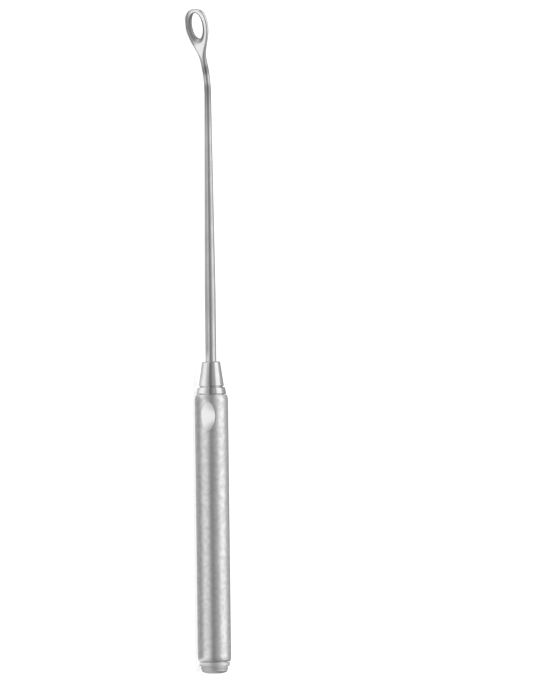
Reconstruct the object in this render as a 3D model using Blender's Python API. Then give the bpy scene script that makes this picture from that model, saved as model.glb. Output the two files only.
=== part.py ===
# Nasal curette: a ring blade on a slender shaft, set in a hollow handle. It lies as it comes to
# rest, rolled on its round handle until the side of the ring meets the ground.
# +Y runs along the handle's axis from the end cap to the tip, +Z is up, and the origin is the
# middle of the end cap's flat end.

from math import cos, pi, radians, sin, sqrt

import bmesh
import bpy
from mathutils import Matrix

MM = 0.001

# Facets of the round pieces
HANDLE_SIDES = 64
SHAFT_SIDES = 32

# Halvings in the search for how far the instrument rolls
REST_SEARCH_STEPS = 30

# Clearance between a spigot or the tang and the bore that it sits in
FIT_CLEARANCE = 0.3 * MM

# Handle tube
TUBE_LENGTH = 84.3 * MM
TUBE_RADIUS = 5.28 * MM
TUBE_WALL = 1.0 * MM
TUBE_CHAMFER_LENGTH = 1.3 * MM
TUBE_CHAMFER_DEPTH = 0.38 * MM
TUBE_ROUND_LENGTH = 1.7 * MM
TUBE_ROUND_DEPTH = 0.3 * MM
TUBE_ROUND_STEPS = 6

# Oval ground into the tube near its front, a little to the right of the blade's front
OVAL_WIDTH = 4.6 * MM
OVAL_LENGTH = 8.9 * MM
OVAL_FROM_FRONT = 6.7 * MM
OVAL_FROM_BLADE = radians(12.3)
OVAL_CUTTER_SIDES = 160

# End cap: a flat land, a low dome that steepens to its slope, a rounded edge, a rim, a groove, a band
CAP_LAND_RADIUS = 1.4 * MM
CAP_DOME_SLOPE = radians(24.0)
CAP_DOME_STEPS = 5
CAP_EDGE_RADIUS = 0.8 * MM
CAP_EDGE_STEPS = 5
CAP_RIM_BACK_RADIUS = 4.1 * MM
CAP_RIM_LENGTH = 0.65 * MM
CAP_RIM_FLARE = 0.3 * MM
CAP_GROOVE_LENGTH = 0.6 * MM
CAP_GROOVE_DEPTH = 0.2 * MM
CAP_BAND_LENGTH = 1.45 * MM
CAP_BAND_TAPER = 0.12 * MM
CAP_BAND_STEP = 0.08 * MM
CAP_BAND_CHAMFER = 0.2 * MM
CAP_SPIGOT_LENGTH = 5.0 * MM

# Front ferrule
COLLAR_STEP = 0.17 * MM
COLLAR_CHAMFER = 0.15 * MM
COLLAR_LENGTH = 2.25 * MM
COLLAR_TAPER = 0.4 * MM
FERRULE_GROOVE_LENGTH = 0.6 * MM
FERRULE_GROOVE_DEPTH = 0.3 * MM
CONE_LENGTH = 7.2 * MM
CONE_BACK_RADIUS = 4.0 * MM
CONE_FRONT_RADIUS = 2.95 * MM
NOSE_ROUND = 0.45 * MM
NOSE_STEPS = 5
FERRULE_BORE_RADIUS = 1.45 * MM
FERRULE_SPIGOT_LENGTH = 6.0 * MM
SPIGOT_CHAMFER = 0.4 * MM

# Shaft, from the tang's end to the neck
TANG_BEYOND_SPIGOT = 3.0 * MM
TANG_CHAMFER = 0.4 * MM
SHAFT_RADIUS = 1.72 * MM
SHAFT_STRAIGHT_LENGTH = 22.5 * MM
SHAFT_TAPER_LENGTH = 61.5 * MM
NECK_RADIUS = 1.06 * MM

# The neck bends forward, and the ring turns part of the way back
NECK_LEAN = radians(28.0)
RING_LEAN = radians(16.5)
NECK_BEND_LENGTH = 11.0 * MM
NECK_LENGTH = 6.3 * MM
RING_BEND_LENGTH = 3.0 * MM
RING_BEND_FROM_MIDDLE = 3.0 * MM
NECK_STEPS = 11

# Ring: a blunt oval blank that narrows through the web to the neck
RING_HALF_WIDTH = 3.8 * MM
RING_HALF_LENGTH = 5.75 * MM
RING_HALF_DEPTH = 1.08 * MM
RING_BLUNTNESS = 2.7
SECTION_SQUARENESS = 2.8
BLEND_LENGTH = 11.9 * MM
BLEND_STEPS = 24
TIP_STEPS = 14

# Flat front face, ground above the centreline, that rises past the hole and runs out at the web's point
FACE_HEIGHT = 0.65 * MM
FACE_STRAIGHT_LENGTH = 5.2 * MM
WEB_LENGTH = 6.4 * MM
WEB_STEPS = 12
FACE_RUN_OUT = 1.5 * MM

# Hole: its narrowest place lies a little behind the face, and is the blunt cutting edge
HOLE_HALF_WIDTH = 1.95 * MM
HOLE_TIP_REACH = 4.45 * MM
HOLE_WEB_REACH = 4.05 * MM
HOLE_EDGE_DEPTH = 0.45 * MM
HOLE_BEVEL_SIDE = 0.75 * MM
HOLE_BEVEL_TIP = 0.45 * MM
HOLE_BEVEL_WEB = 1.2 * MM
HOLE_BACK_FLARE = 0.25 * MM
HOLE_SIDES = 48

# Where each piece's own origin lies along the handle's axis
CAP_DOME_RADIUS = CAP_RIM_BACK_RADIUS - CAP_EDGE_RADIUS * (1.0 - sin(CAP_DOME_SLOPE))
CAP_DOME_SWEEP = (CAP_DOME_RADIUS - CAP_LAND_RADIUS) / sin(CAP_DOME_SLOPE)
CAP_DOME_HEIGHT = CAP_DOME_SWEEP * (1.0 - cos(CAP_DOME_SLOPE))
CAP_RIM_START = CAP_DOME_HEIGHT + CAP_EDGE_RADIUS * cos(CAP_DOME_SLOPE)
CAP_LENGTH = CAP_RIM_START + CAP_RIM_LENGTH + CAP_GROOVE_LENGTH + CAP_BAND_LENGTH
TUBE_START = CAP_LENGTH
FERRULE_START = TUBE_START + TUBE_LENGTH
FERRULE_LENGTH = COLLAR_LENGTH + FERRULE_GROOVE_LENGTH + CONE_LENGTH + NOSE_ROUND
SHAFT_START = FERRULE_START + FERRULE_LENGTH

BORE_RADIUS = TUBE_RADIUS - TUBE_WALL
SPIGOT_RADIUS = BORE_RADIUS - FIT_CLEARANCE
TANG_RADIUS = FERRULE_BORE_RADIUS - FIT_CLEARANCE
TANG_LENGTH = FERRULE_LENGTH + FERRULE_SPIGOT_LENGTH + TANG_BEYOND_SPIGOT

# The blade's centreline, as lengths and the angle that each one turns through
SHAFT_LENGTH = SHAFT_STRAIGHT_LENGTH + SHAFT_TAPER_LENGTH
CENTRELINE = (
    (SHAFT_LENGTH, 0.0),
    (NECK_BEND_LENGTH, NECK_LEAN),
    (NECK_LENGTH, 0.0),
    (RING_BEND_LENGTH, RING_LEAN - NECK_LEAN),
    (RING_BEND_FROM_MIDDLE, 0.0),
)
RING_DISTANCE = sum(length for length, turn in CENTRELINE)


def clear_scene():
    for thing in list(bpy.data.objects):
        bpy.data.objects.remove(thing, do_unlink=True)


def steel(name, grey, roughness):
    made = bpy.data.materials.new(name)
    made.use_nodes = True
    shader = made.node_tree.nodes["Principled BSDF"]
    shader.inputs["Base Color"].default_value = (grey, grey, grey * 1.01, 1.0)
    shader.inputs["Metallic"].default_value = 1.0
    shader.inputs["Roughness"].default_value = roughness
    made.diffuse_color = (grey, grey, grey, 1.0)
    return made


def add_object(name, shape, finish=None):
    """Makes a named object of a bmesh, with its faces pointing out and its round sides smooth."""
    bmesh.ops.recalc_face_normals(shape, faces=shape.faces)
    mesh = bpy.data.meshes.new(name)
    shape.to_mesh(mesh)
    shape.free()
    made = bpy.data.objects.new(name, mesh)
    bpy.context.scene.collection.objects.link(made)
    mesh.shade_smooth()
    mesh.set_sharp_from_angle(angle=radians(28.0))
    if finish:
        mesh.materials.append(finish)
    return made


def arc(centre, radii, start, end, steps):
    """Points (y, r) of an elliptical arc, between angles measured from +Y towards +R."""
    turns = [start + (end - start) * i / steps for i in range(steps + 1)]
    return [
        (centre[0] + radii[0] * cos(turn), centre[1] + radii[1] * sin(turn))
        for turn in turns
    ]


def turned(name, profile, finish, sides, hollow=False):
    """Spins a profile of (y, r) points round the Y axis, with a facet, not an edge, underneath."""
    shape = bmesh.new()
    half_step = pi / sides
    points = [
        shape.verts.new((r * sin(half_step), y, r * cos(half_step))) for y, r in profile
    ]
    runs = list(zip(points, points[1:]))
    if hollow:
        runs.append((points[-1], points[0]))
    lines = [shape.edges.new(run) for run in runs]
    bmesh.ops.spin(
        shape,
        geom=points + lines,
        cent=(0.0, 0.0, 0.0),
        axis=(0.0, 1.0, 0.0),
        angle=2.0 * pi,
        steps=sides,
        use_merge=True,
    )
    bmesh.ops.remove_doubles(shape, verts=shape.verts, dist=0.0001 * MM)
    return add_object(name, shape, finish)


def loft(shape, rings):
    """Skins rings that have equally many points, and closes both ends."""
    layers = [[shape.verts.new(point) for point in ring] for ring in rings]
    for low, high in zip(layers, layers[1:]):
        for i in range(len(low)):
            j = (i + 1) % len(low)
            shape.faces.new((low[i], low[j], high[j], high[i]))
    shape.faces.new(layers[0])
    shape.faces.new(layers[-1])


def as_cutter(cutter, piece):
    """Takes the cutter's shape out of the piece, which carries it along."""
    cutter.parent = piece
    cutter.hide_render = True
    cutter.display_type = "WIRE"
    cut = piece.modifiers.new(cutter.name, "BOOLEAN")
    cut.operation = "DIFFERENCE"
    cut.object = cutter


def end_cap_profile():
    band_front_radius = TUBE_RADIUS - TUBE_ROUND_DEPTH - CAP_BAND_STEP
    band_back_radius = band_front_radius - CAP_BAND_TAPER
    rim_front_radius = CAP_RIM_BACK_RADIUS + CAP_RIM_FLARE
    groove_start = CAP_RIM_START + CAP_RIM_LENGTH
    groove_floor = groove_start + CAP_GROOVE_LENGTH / 3.0
    band_start = groove_start + CAP_GROOVE_LENGTH
    spigot_end = CAP_LENGTH + CAP_SPIGOT_LENGTH
    dome = arc(
        (CAP_DOME_SWEEP, CAP_LAND_RADIUS),
        (-CAP_DOME_SWEEP, CAP_DOME_SWEEP),
        0.0,
        CAP_DOME_SLOPE,
        CAP_DOME_STEPS,
    )
    edge = arc(
        (CAP_RIM_START, CAP_RIM_BACK_RADIUS - CAP_EDGE_RADIUS),
        (-CAP_EDGE_RADIUS, CAP_EDGE_RADIUS),
        CAP_DOME_SLOPE,
        pi / 2.0,
        CAP_EDGE_STEPS,
    )
    return [
        (0.0, 0.0),
        *dome,
        *edge[1:],
        (groove_start, rim_front_radius),
        (groove_floor, rim_front_radius - CAP_GROOVE_DEPTH),
        (band_start, band_back_radius),
        (CAP_LENGTH - CAP_BAND_CHAMFER, band_front_radius),
        (CAP_LENGTH, band_front_radius - CAP_BAND_CHAMFER),
        (CAP_LENGTH, SPIGOT_RADIUS),
        (spigot_end - SPIGOT_CHAMFER, SPIGOT_RADIUS),
        (spigot_end, SPIGOT_RADIUS - SPIGOT_CHAMFER),
        (spigot_end, 0.0),
    ]


def handle_tube_profile():
    back = arc(
        (TUBE_ROUND_LENGTH, TUBE_RADIUS - TUBE_ROUND_DEPTH),
        (-TUBE_ROUND_LENGTH, TUBE_ROUND_DEPTH),
        0.0,
        pi / 2.0,
        TUBE_ROUND_STEPS,
    )
    return [
        (0.0, BORE_RADIUS),
        *back,
        (TUBE_LENGTH - TUBE_CHAMFER_LENGTH, TUBE_RADIUS),
        (TUBE_LENGTH, TUBE_RADIUS - TUBE_CHAMFER_DEPTH),
        (TUBE_LENGTH, BORE_RADIUS),
    ]


def front_ferrule_profile():
    collar_back_radius = TUBE_RADIUS - TUBE_CHAMFER_DEPTH - COLLAR_STEP
    collar_front_radius = collar_back_radius - COLLAR_TAPER
    groove_radius = CONE_BACK_RADIUS - FERRULE_GROOVE_DEPTH
    cone_start = COLLAR_LENGTH + FERRULE_GROOVE_LENGTH
    nose = arc(
        (FERRULE_LENGTH - NOSE_ROUND, CONE_FRONT_RADIUS - NOSE_ROUND),
        (NOSE_ROUND, NOSE_ROUND),
        pi / 2.0,
        0.0,
        NOSE_STEPS,
    )
    return [
        (-FERRULE_SPIGOT_LENGTH, FERRULE_BORE_RADIUS),
        (-FERRULE_SPIGOT_LENGTH, SPIGOT_RADIUS - SPIGOT_CHAMFER),
        (-FERRULE_SPIGOT_LENGTH + SPIGOT_CHAMFER, SPIGOT_RADIUS),
        (0.0, SPIGOT_RADIUS),
        (0.0, collar_back_radius - COLLAR_CHAMFER),
        (COLLAR_CHAMFER, collar_back_radius),
        (COLLAR_LENGTH, collar_front_radius),
        (COLLAR_LENGTH + FERRULE_GROOVE_LENGTH / 2.0, groove_radius),
        (cone_start, CONE_BACK_RADIUS),
        *nose,
        (FERRULE_LENGTH, FERRULE_BORE_RADIUS),
    ]


def oval_cutter(turn):
    """A wheel that grinds across the tube and leaves an oval of the given width and length."""
    depth = TUBE_RADIUS - sqrt(TUBE_RADIUS**2 - (OVAL_WIDTH / 2.0) ** 2)
    wheel_radius = ((OVAL_LENGTH / 2.0) ** 2 + depth**2) / (2.0 * depth)
    shape = bmesh.new()
    bmesh.ops.create_cone(
        shape,
        cap_ends=True,
        segments=OVAL_CUTTER_SIDES,
        radius1=wheel_radius,
        radius2=wheel_radius,
        depth=2.0 * TUBE_RADIUS,
        matrix=Matrix.Rotation(pi / 2.0, 4, "Y"),
    )
    cutter = add_object("oval_cutter", shape)
    height = TUBE_RADIUS - depth + wheel_radius
    cutter.location = (-height * sin(turn), TUBE_LENGTH - OVAL_FROM_FRONT, height * cos(turn))
    cutter.rotation_euler = (0.0, -turn, 0.0)
    return cutter


def centreline(distance):
    """The blade's centreline at a distance from the shoulder: y, z and its lean."""
    y = 0.0
    z = 0.0
    lean = 0.0
    for length, turn in CENTRELINE:
        step = min(distance, length)
        if turn:
            turned_by = turn * step / length
            radius = length / turn
            y += radius * (sin(lean + turned_by) - sin(lean))
            z += radius * (cos(lean) - cos(lean + turned_by))
            lean += turned_by
        else:
            y += step * cos(lean)
            z += step * sin(lean)
        distance -= step
    return y + distance * cos(lean), z + distance * sin(lean), lean


def rounded_off(size, reach, power):
    """How much of a size is left at a share of the way to the end of a rounded shape."""
    return size * (1.0 - min(reach, 1.0) ** power) ** (1.0 / power)


def blade_section(distance):
    """Half the width and depth of the blade's blank, and how square its section is."""
    from_ring = distance - RING_DISTANCE
    if from_ring > 0.0:
        reach = from_ring / RING_HALF_LENGTH
        width = rounded_off(RING_HALF_WIDTH, reach, RING_BLUNTNESS)
        depth = rounded_off(RING_HALF_DEPTH, reach, SECTION_SQUARENESS)
        return width, depth, SECTION_SQUARENESS
    if from_ring > -BLEND_LENGTH:
        share = (1.0 + cos(pi * from_ring / BLEND_LENGTH)) / 2.0
        return (
            NECK_RADIUS + (RING_HALF_WIDTH - NECK_RADIUS) * share,
            NECK_RADIUS + (RING_HALF_DEPTH - NECK_RADIUS) * share,
            2.0 + (SECTION_SQUARENESS - 2.0) * share,
        )
    share = min(max(distance - SHAFT_STRAIGHT_LENGTH, 0.0) / SHAFT_TAPER_LENGTH, 1.0)
    radius = SHAFT_RADIUS + (NECK_RADIUS - SHAFT_RADIUS) * share
    return radius, radius, 2.0


def blade_ring(distance):
    """The blank's outline across its centreline at one distance from the shoulder."""
    y, z, lean = centreline(distance)
    width, depth, squareness = blade_section(distance)
    power = 2.0 / squareness
    points = []
    for i in range(SHAFT_SIDES):
        turn = 2.0 * pi * (i + 0.5) / SHAFT_SIDES
        across = width * abs(cos(turn)) ** power * (1.0 if cos(turn) > 0.0 else -1.0)
        up = depth * abs(sin(turn)) ** power * (1.0 if sin(turn) > 0.0 else -1.0)
        points.append((across, y - up * sin(lean), z + up * cos(lean)))
    return points


def resting_turn():
    """How far the blade rolls to the left before the side of the ring meets the ground."""
    ground = -TUBE_RADIUS * cos(pi / HANDLE_SIDES)
    outline = [point for distance in blade_stations() for point in blade_ring(distance)]
    clear = 0.0
    reaches = pi
    for _ in range(REST_SEARCH_STEPS):
        turn = (clear + reaches) / 2.0
        if min(x * sin(turn) + z * cos(turn) for x, y, z in outline) > ground:
            clear = turn
        else:
            reaches = turn
    return clear


def tang_ring(y, radius):
    turns = [2.0 * pi * (i + 0.5) / SHAFT_SIDES for i in range(SHAFT_SIDES)]
    return [(radius * cos(turn), y, radius * sin(turn)) for turn in turns]


def blade_stations():
    """Distances from the shoulder at which the blank's sections lie, closer where it bends."""
    blend_start = RING_DISTANCE - BLEND_LENGTH
    neck_length = blend_start - SHAFT_LENGTH
    stations = [0.0, SHAFT_STRAIGHT_LENGTH]
    stations += [SHAFT_LENGTH + neck_length * i / NECK_STEPS for i in range(NECK_STEPS)]
    stations += [blend_start + BLEND_LENGTH * i / BLEND_STEPS for i in range(BLEND_STEPS + 1)]
    stations += [
        RING_DISTANCE + RING_HALF_LENGTH * sin(pi / 2.0 * i / TIP_STEPS)
        for i in range(1, TIP_STEPS + 1)
    ]
    return stations


def hole_ring(half_width, tip_reach, web_reach, height):
    middle = (tip_reach - web_reach) / 2.0
    half_length = (tip_reach + web_reach) / 2.0
    turns = [2.0 * pi * i / HOLE_SIDES for i in range(HOLE_SIDES)]
    return [
        (half_width * cos(turn), middle + half_length * sin(turn), height) for turn in turns
    ]


def hole_cutter():
    """The hole narrows behind the face to its edge, then opens a little towards the back."""
    front = (
        HOLE_HALF_WIDTH + HOLE_BEVEL_SIDE,
        HOLE_TIP_REACH + HOLE_BEVEL_TIP,
        HOLE_WEB_REACH + HOLE_BEVEL_WEB,
    )
    edge = (HOLE_HALF_WIDTH, HOLE_TIP_REACH, HOLE_WEB_REACH)
    back = tuple(size + HOLE_BACK_FLARE for size in edge)
    back_height = FACE_HEIGHT - HOLE_EDGE_DEPTH - 2.0 * RING_HALF_DEPTH
    shape = bmesh.new()
    loft(
        shape,
        [
            hole_ring(*back, back_height),
            hole_ring(*edge, FACE_HEIGHT - HOLE_EDGE_DEPTH),
            hole_ring(*front, FACE_HEIGHT),
            hole_ring(*front, FACE_HEIGHT + 2.0 * RING_HALF_DEPTH),
        ],
    )
    return add_object("hole_cutter", shape)


def face_height(distance):
    """Height of the flat over the centreline: it rises through the web in an ever flatter curve."""
    below = RING_DISTANCE - FACE_STRAIGHT_LENGTH - distance
    if below <= 0.0:
        return FACE_HEIGHT
    left = max(1.0 - below / WEB_LENGTH, 0.0)
    run_out = max(below - WEB_LENGTH, 0.0)
    return NECK_RADIUS + run_out - (NECK_RADIUS - FACE_HEIGHT) * left**2


def face_cutter():
    """A block whose underside is the flat, and rises clear of the neck past the web."""
    half_width = 2.0 * RING_HALF_WIDTH
    top = 4.0 * RING_HALF_DEPTH
    web_end = RING_DISTANCE - FACE_STRAIGHT_LENGTH
    stations = [web_end - WEB_LENGTH - FACE_RUN_OUT]
    stations += [web_end - WEB_LENGTH * (1.0 - i / WEB_STEPS) for i in range(WEB_STEPS)]
    stations += [web_end, RING_DISTANCE - RING_BEND_FROM_MIDDLE, RING_DISTANCE + 1.5 * RING_HALF_LENGTH]
    rings = []
    for distance in stations:
        bottom = face_height(distance)
        y, z, lean = centreline(distance)
        corners = ((-half_width, bottom), (half_width, bottom), (half_width, top), (-half_width, top))
        rings.append([(x, y - up * sin(lean), z + up * cos(lean)) for x, up in corners])
    shape = bmesh.new()
    loft(shape, rings)
    return add_object("face_cutter", shape)


def ring_curette(finish, turn):
    """The blade, shaft and tang in one piece, rolled so that the ring's front is turned to the left."""
    shape = bmesh.new()
    rings = [
        tang_ring(-TANG_LENGTH, TANG_RADIUS - TANG_CHAMFER),
        tang_ring(TANG_CHAMFER - TANG_LENGTH, TANG_RADIUS),
        tang_ring(0.0, TANG_RADIUS),
    ]
    rings += [blade_ring(distance) for distance in blade_stations()]
    loft(shape, rings)
    bmesh.ops.remove_doubles(shape, verts=shape.verts, dist=0.0001 * MM)
    piece = add_object("ring_curette", shape, finish)
    piece.location = (0.0, SHAFT_START, 0.0)
    piece.rotation_euler = (0.0, -turn, 0.0)

    as_cutter(face_cutter(), piece)
    y, z, lean = centreline(RING_DISTANCE)
    hole = hole_cutter()
    hole.location = (0.0, y, z)
    hole.rotation_euler = (lean, 0.0, 0.0)
    as_cutter(hole, piece)


def main():
    clear_scene()
    polished = steel("polished_steel", 0.74, 0.16)
    ground = steel("ground_steel", 0.68, 0.24)
    satin = steel("satin_steel", 0.6, 0.42)
    blade_turn = resting_turn()

    turned("end_cap", end_cap_profile(), polished, HANDLE_SIDES)
    tube = turned("handle_tube", handle_tube_profile(), satin, HANDLE_SIDES, hollow=True)
    tube.location = (0.0, TUBE_START, 0.0)
    as_cutter(oval_cutter(blade_turn - OVAL_FROM_BLADE), tube)
    ferrule = turned(
        "front_ferrule", front_ferrule_profile(), polished, HANDLE_SIDES, hollow=True
    )
    ferrule.location = (0.0, FERRULE_START, 0.0)
    ring_curette(ground, blade_turn)


main()
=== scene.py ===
from math import atan2, ceil, copysign, cos, degrees, pi, radians, sin, sqrt

import bmesh
import bpy
from mathutils import Matrix, Vector


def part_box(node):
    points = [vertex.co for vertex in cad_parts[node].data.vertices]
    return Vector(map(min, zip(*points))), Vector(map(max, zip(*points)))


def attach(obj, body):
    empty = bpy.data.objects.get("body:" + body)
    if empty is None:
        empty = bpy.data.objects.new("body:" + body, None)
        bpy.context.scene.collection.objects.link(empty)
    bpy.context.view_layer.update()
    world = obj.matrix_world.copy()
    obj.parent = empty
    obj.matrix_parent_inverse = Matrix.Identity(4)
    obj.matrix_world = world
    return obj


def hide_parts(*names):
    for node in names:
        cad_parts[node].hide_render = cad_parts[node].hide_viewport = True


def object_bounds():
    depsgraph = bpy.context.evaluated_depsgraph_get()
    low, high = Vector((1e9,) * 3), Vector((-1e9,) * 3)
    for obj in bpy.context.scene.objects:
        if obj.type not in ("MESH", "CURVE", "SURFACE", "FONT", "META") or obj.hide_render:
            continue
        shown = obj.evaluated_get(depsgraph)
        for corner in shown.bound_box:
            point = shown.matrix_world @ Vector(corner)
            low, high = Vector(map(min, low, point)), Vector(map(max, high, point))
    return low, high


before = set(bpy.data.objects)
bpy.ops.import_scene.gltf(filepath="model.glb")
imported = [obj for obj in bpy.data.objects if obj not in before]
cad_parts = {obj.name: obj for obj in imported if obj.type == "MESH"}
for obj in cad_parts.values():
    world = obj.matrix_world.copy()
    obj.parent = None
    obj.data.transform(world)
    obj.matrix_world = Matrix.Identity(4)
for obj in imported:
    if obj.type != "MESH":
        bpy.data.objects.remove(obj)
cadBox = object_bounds()
mm = 0.001

# the curette lies along +Y on its handle and the side of its ring, with the ring's front to the left
tubeLow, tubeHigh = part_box("handle_tube")
ferruleLow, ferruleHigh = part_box("front_ferrule")
floorHeight = cadBox[0].z
tubeRadius = tubeHigh.x / mm  # all lengths below are in mm until they reach a mesh
print("frame loaded, handle radius", round(tubeRadius, 3), "mm")


# materials

def wire(tree, source, output, target, socket):
    tree.links.new(source.outputs[output], target.inputs[socket])


polish = {
    "markDetail": 3.0,
    "patchDetail": 2.0,
    "patchesFrom": 0.35,  # the part of the noise that the patches' change of tone is spread over
    "patchesTo": 0.65,
}


def polishMarksGroup():
    # fine marks that follow one direction, with a slow change of tone over them
    group = bpy.data.node_groups.new("polishMarks", "ShaderNodeTree")
    ports = group.interface
    for name in ("Place", "Stretch"):
        ports.new_socket(name, in_out="INPUT", socket_type="NodeSocketVector")
    for name in ("Marks per metre", "Patches per metre"):
        ports.new_socket(name, in_out="INPUT", socket_type="NodeSocketFloat")
    for name in ("Height", "Patches"):
        ports.new_socket(name, in_out="OUTPUT", socket_type="NodeSocketFloat")
    start = group.nodes.new("NodeGroupInput")
    end = group.nodes.new("NodeGroupOutput")
    stretch = group.nodes.new("ShaderNodeVectorMath")
    stretch.operation = "MULTIPLY"
    marks = group.nodes.new("ShaderNodeTexNoise")
    marks.inputs["Detail"].default_value = polish["markDetail"]
    patches = group.nodes.new("ShaderNodeTexNoise")
    patches.inputs["Detail"].default_value = polish["patchDetail"]
    clearer = group.nodes.new("ShaderNodeMapRange")
    clearer.inputs["From Min"].default_value = polish["patchesFrom"]
    clearer.inputs["From Max"].default_value = polish["patchesTo"]
    wire(group, start, "Place", stretch, 0)
    wire(group, start, "Stretch", stretch, 1)
    wire(group, stretch, 0, marks, "Vector")
    wire(group, start, "Marks per metre", marks, "Scale")
    wire(group, start, "Place", patches, "Vector")
    wire(group, start, "Patches per metre", patches, "Scale")
    wire(group, marks, "Fac", end, "Height")
    wire(group, patches, "Fac", clearer, "Value")
    wire(group, clearer, "Result", end, "Patches")
    return group


polishMarks = polishMarksGroup()


def steel(name, look):
    # steel with fine marks in its surface, and patches that change its tone and its gloss
    made = bpy.data.materials.new(name)
    made.use_nodes = True
    tree = made.node_tree
    shader = tree.nodes["Principled BSDF"]
    shader.inputs["Metallic"].default_value = 1.0
    place = tree.nodes.new("ShaderNodeTexCoord")
    marks = tree.nodes.new("ShaderNodeGroup")
    marks.node_tree = polishMarks
    marks.inputs["Stretch"].default_value = look["stretch"]
    marks.inputs["Marks per metre"].default_value = look["marks"]
    marks.inputs["Patches per metre"].default_value = look["patches"]
    wire(tree, place, "Object", marks, "Place")
    bump = tree.nodes.new("ShaderNodeBump")
    bump.inputs["Strength"].default_value = 1.0
    bump.inputs["Distance"].default_value = look["markDepth"]
    wire(tree, marks, "Height", bump, "Height")
    wire(tree, bump, "Normal", shader, "Normal")
    gloss = tree.nodes.new("ShaderNodeMapRange")
    gloss.inputs["To Min"].default_value = look["roughness"] - look["patchiness"]
    gloss.inputs["To Max"].default_value = look["roughness"] + look["patchiness"]
    wire(tree, marks, "Patches", gloss, "Value")
    wire(tree, gloss, "Result", shader, "Roughness")
    tone = tree.nodes.new("ShaderNodeMix")
    tone.data_type = "RGBA"
    tone.inputs["A"].default_value = look["colour"] + (1.0,)
    tone.inputs["B"].default_value = tuple(c * look["darker"] for c in look["colour"]) + (1.0,)
    wire(tree, marks, "Patches", tone, "Factor")
    wire(tree, tone, "Result", shader, "Base Color")
    return made, tree, shader, gloss, tone


satinLook = {
    "colour": (0.84, 0.84, 0.845),
    "darker": 0.85,
    "roughness": 0.39,
    "patchiness": 0.03,
    "stretch": (1.0, 0.7, 1.0),
    "marks": 4000.0,
    "patches": 750.0,
    "markDepth": 0.000006,
    "flatRoughness": 0.14,
    "flatPaintedSheenColour": (0.95, 0.95, 0.955),
}
turnedLook = {
    "colour": (0.73, 0.73, 0.735),
    "darker": 0.93,
    "roughness": 0.15,
    "patchiness": 0.03,
    "stretch": (0.02, 1.0, 0.02),  # the lathe leaves its marks round the handle
    "marks": 5000.0,
    "patches": 220.0,
    "markDepth": 0.0000012,
}
capLook = dict(turnedLook, colour=(0.97, 0.97, 0.97), roughness=0.5)
groundLook = {
    "colour": (0.68, 0.68, 0.685),
    "darker": 0.9,
    "roughness": 0.37,
    "patchiness": 0.03,
    "stretch": (1.0, 0.03, 1.0),  # the shaft is polished lengthwise
    "marks": 4200.0,
    "patches": 180.0,
    "markDepth": 0.0000012,
    "flatRoughness": 0.12,
    "flatPaintedSheenColour": (0.88, 0.88, 0.885),
}


def withPaintedSheenAndShade(parts):
    # the blade's colour is painted brighter on the ring than on the shaft, a painted reflection, and
    # darker on the bent neck, a painted shade
    made, tree, shader, gloss, tone = parts
    paintedSheenAndShades = tree.nodes.new("ShaderNodeAttribute")
    paintedSheenAndShades.attribute_name = "paintedSheenAndShade"
    toned = tree.nodes.new("ShaderNodeMix")
    toned.data_type = "RGBA"
    toned.blend_type = "MULTIPLY"
    toned.inputs["Factor"].default_value = 1.0
    wire(tree, tone, "Result", toned, "A")
    wire(tree, paintedSheenAndShades, "Color", toned, "B")
    return made, tree, shader, gloss, toned


def groundFlatsWithPaintedSheen(parts, look):
    # the oval and the ring's front are ground smoother than the steel round them, and a brighter colour
    # is painted on them as a painted reflection
    made, tree, shader, gloss, tone = parts
    mask = tree.nodes.new("ShaderNodeAttribute")
    mask.attribute_name = "flatMask"
    smoother = tree.nodes.new("ShaderNodeMix")
    smoother.inputs["B"].default_value = look["flatRoughness"]
    wire(tree, mask, "Fac", smoother, "Factor")
    wire(tree, gloss, "Result", smoother, "A")
    wire(tree, smoother, "Result", shader, "Roughness")
    brighter = tree.nodes.new("ShaderNodeMix")
    brighter.data_type = "RGBA"
    brighter.inputs["B"].default_value = look["flatPaintedSheenColour"] + (1.0,)
    wire(tree, mask, "Fac", brighter, "Factor")
    wire(tree, tone, "Result", brighter, "A")
    wire(tree, brighter, "Result", shader, "Base Color")
    return made


satin = groundFlatsWithPaintedSheen(steel("satinSteel", satinLook), satinLook)
polished = steel("polishedSteel", turnedLook)[0]
capSteel = steel("capSteel", capLook)[0]
ground = groundFlatsWithPaintedSheen(withPaintedSheenAndShade(steel("groundSteel", groundLook)), groundLook)
print("materials made")


# turned pieces

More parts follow.
